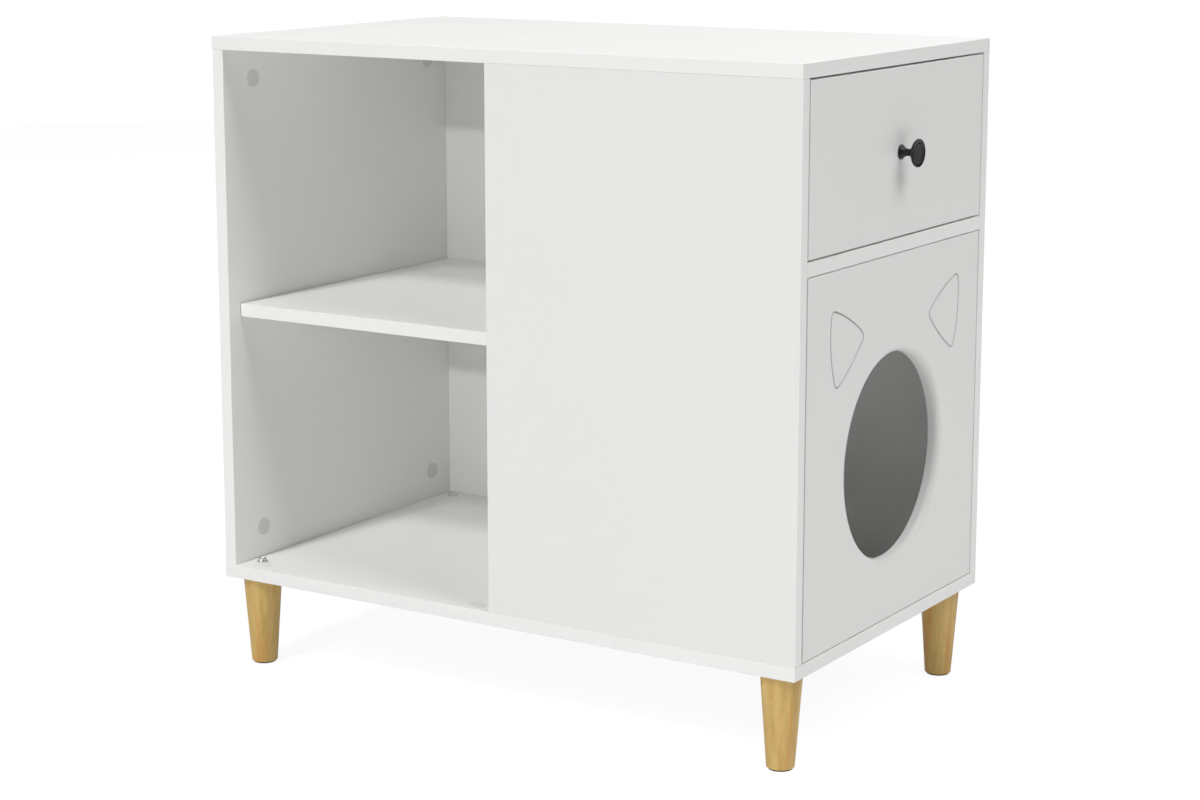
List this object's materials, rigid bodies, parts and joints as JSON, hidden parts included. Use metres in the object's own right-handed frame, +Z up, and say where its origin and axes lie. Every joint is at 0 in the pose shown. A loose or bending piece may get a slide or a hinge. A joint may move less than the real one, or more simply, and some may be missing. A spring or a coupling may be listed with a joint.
{
  "type": "cat litter box cabinet",
  "caption": "White board cabinet on turned wooden legs, with an open shelf bay, a closed litter bay with a round cat hole in its end door, and a drawer over the door.",
  "frame": {"origin": "on the floor, in the middle of the box round the whole object with its knob", "axes": "+X to the end with the drawer and the cat door, -Y to the front with the open shelves, +Z up"},
  "size_m": [0.823, 0.47, 0.78],
  "materials": {
    "white_board": "satin white melamine on board",
    "drawer_sheet": "matt white lacquered fibreboard",
    "leg_wood": "clear satin lacquer on light hardwood",
    "leg_pad": "matt black",
    "black_knob": "satin black",
    "zinc_steel": "bright zinc",
    "white_plastic": "fine matt white"
  },
  "bodies": {
    "cabinet": {"top_board": "white_board", "bottom_board": "white_board", "left_side_board": "white_board", "divider_board": "white_board", "front_panel": "white_board", "back_board": "white_board", "deck_board": "white_board", "shelf_board": "white_board", "floor_cap_left": "white_plastic", "floor_cap_right": "white_plastic", "shelf_pin_left_front": "zinc_steel", "shelf_pin_left_rear": "zinc_steel", "shelf_pin_right_front": "zinc_steel", "shelf_pin_right_rear": "zinc_steel", "cam_lower_front": "zinc_steel", "cam_lower_rear": "zinc_steel", "cam_upper_front": "zinc_steel", "cam_upper_rear": "zinc_steel", "cam_bolt_lower_front": "zinc_steel", "cam_bolt_lower_rear": "zinc_steel", "cam_bolt_upper_front": "zinc_steel", "cam_bolt_upper_rear": "zinc_steel", "cam_cap_lower_front": "white_plastic", "cam_cap_lower_rear": "white_plastic", "cam_cap_upper_front": "white_plastic", "cam_cap_upper_rear": "white_plastic", "leg_front_left": "leg_wood", "leg_front_right": "leg_wood", "leg_rear_left": "leg_wood", "leg_rear_right": "leg_wood", "leg_glide_front_left": "leg_pad", "leg_glide_front_right": "leg_pad", "leg_glide_rear_left": "leg_pad", "leg_glide_rear_right": "leg_pad", "leg_bolt_front_left": "zinc_steel", "leg_bolt_front_right": "zinc_steel", "leg_bolt_rear_left": "zinc_steel", "leg_bolt_rear_right": "zinc_steel", "slide_channel_front": "zinc_steel", "slide_channel_rear": "zinc_steel", "pivot_bush_top": "white_plastic", "pivot_bush_bottom": "white_plastic", "magnet_catch": "white_plastic"},
    "drawer": {"drawer_front": "white_board", "drawer_side_front": "white_board", "drawer_side_rear": "white_board", "drawer_back": "white_board", "drawer_bottom": "drawer_sheet", "knob": "black_knob", "knob_screw": "zinc_steel", "slide_runner_front": "zinc_steel", "slide_runner_rear": "zinc_steel"},
    "front_cage": {"slide_cage_front": "zinc_steel"},
    "rear_cage": {"slide_cage_rear": "zinc_steel"},
    "door": {"cat_door": "white_board", "pivot_pin_top": "zinc_steel", "pivot_pin_bottom": "zinc_steel", "strike_plate": "zinc_steel"}
  },
  "joints": [
    {"name": "drawer_slide", "type": "slide", "parent": "cabinet", "child": "drawer", "axis": [1, 0, 0], "range_m": [0, 0.26]},
    {"name": "front_cage_slide", "type": "slide", "parent": "cabinet", "child": "front_cage", "axis": [1, 0, 0], "range_m": [0, 0.13]},
    {"name": "rear_cage_slide", "type": "slide", "parent": "cabinet", "child": "rear_cage", "axis": [1, 0, 0], "range_m": [0, 0.13]},
    {"name": "cat_door_hinge", "type": "hinge", "parent": "cabinet", "child": "door", "pos_m": [0.3805, 0.2015, 0.3405], "axis": [0, 0, 1], "range_deg": [0, 110]}
  ],
  "couplings": [
    {"joint": "front_cage_slide", "follows": "drawer_slide", "ratio": 0.5},
    {"joint": "rear_cage_slide", "follows": "drawer_slide", "ratio": 0.5}
  ]
}
